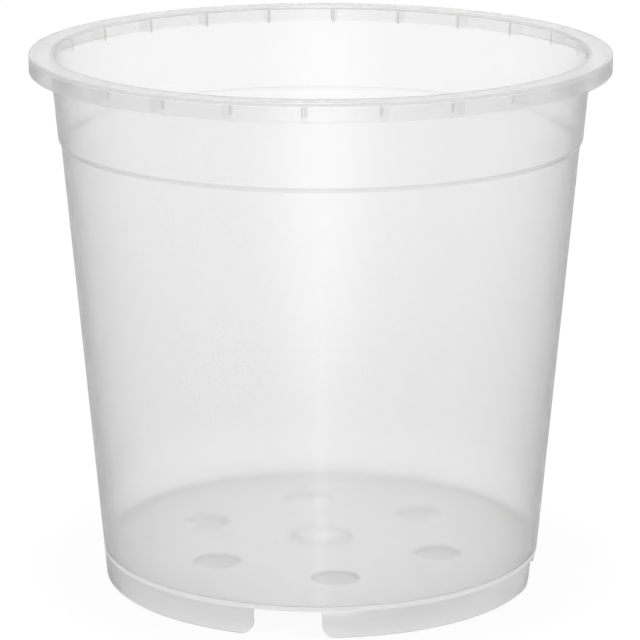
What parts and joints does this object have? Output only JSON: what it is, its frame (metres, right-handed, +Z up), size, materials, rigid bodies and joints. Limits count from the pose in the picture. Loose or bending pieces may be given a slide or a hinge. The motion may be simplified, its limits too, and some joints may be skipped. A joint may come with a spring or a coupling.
{
  "type": "slotted orchid pot",
  "caption": "Round tapered translucent plant pot with a turned-down ribbed rim, a stacking step, a raised floor with drain holes and a slotted foot ring.",
  "frame": {"origin": "centre of the foot ring, on the surface that the pot stands on", "axes": "+Z up along the pot's axis, -Y through the middle of the first foot slot, +X through the second"},
  "size_m": [0.15, 0.15, 0.14],
  "materials": {
    "pot_plastic": "natural uncoloured polypropylene, milky and see-through, satin inside and smooth outside"
  },
  "bodies": {
    "root": {"rim_flange": "pot_plastic", "rim_skirt": "pot_plastic", "collar": "pot_plastic", "stacking_step": "pot_plastic", "wall": "pot_plastic", "heel": "pot_plastic", "floor": "pot_plastic", "centre_dome": "pot_plastic", "gate_mark": "pot_plastic", "rim_rib_01": "pot_plastic", "rim_rib_02": "pot_plastic", "rim_rib_03": "pot_plastic", "rim_rib_04": "pot_plastic", "rim_rib_05": "pot_plastic", "rim_rib_06": "pot_plastic", "rim_rib_07": "pot_plastic", "rim_rib_08": "pot_plastic", "rim_rib_09": "pot_plastic", "rim_rib_10": "pot_plastic", "rim_rib_11": "pot_plastic", "rim_rib_12": "pot_plastic", "rim_rib_13": "pot_plastic", "rim_rib_14": "pot_plastic", "rim_rib_15": "pot_plastic", "rim_rib_16": "pot_plastic", "rim_rib_17": "pot_plastic", "rim_rib_18": "pot_plastic", "rim_rib_19": "pot_plastic", "rim_rib_20": "pot_plastic", "rim_rib_21": "pot_plastic", "rim_rib_22": "pot_plastic", "rim_rib_23": "pot_plastic", "rim_rib_24": "pot_plastic", "foot_1": "pot_plastic", "foot_2": "pot_plastic", "foot_3": "pot_plastic", "foot_4": "pot_plastic"}
  },
  "joints": []
}
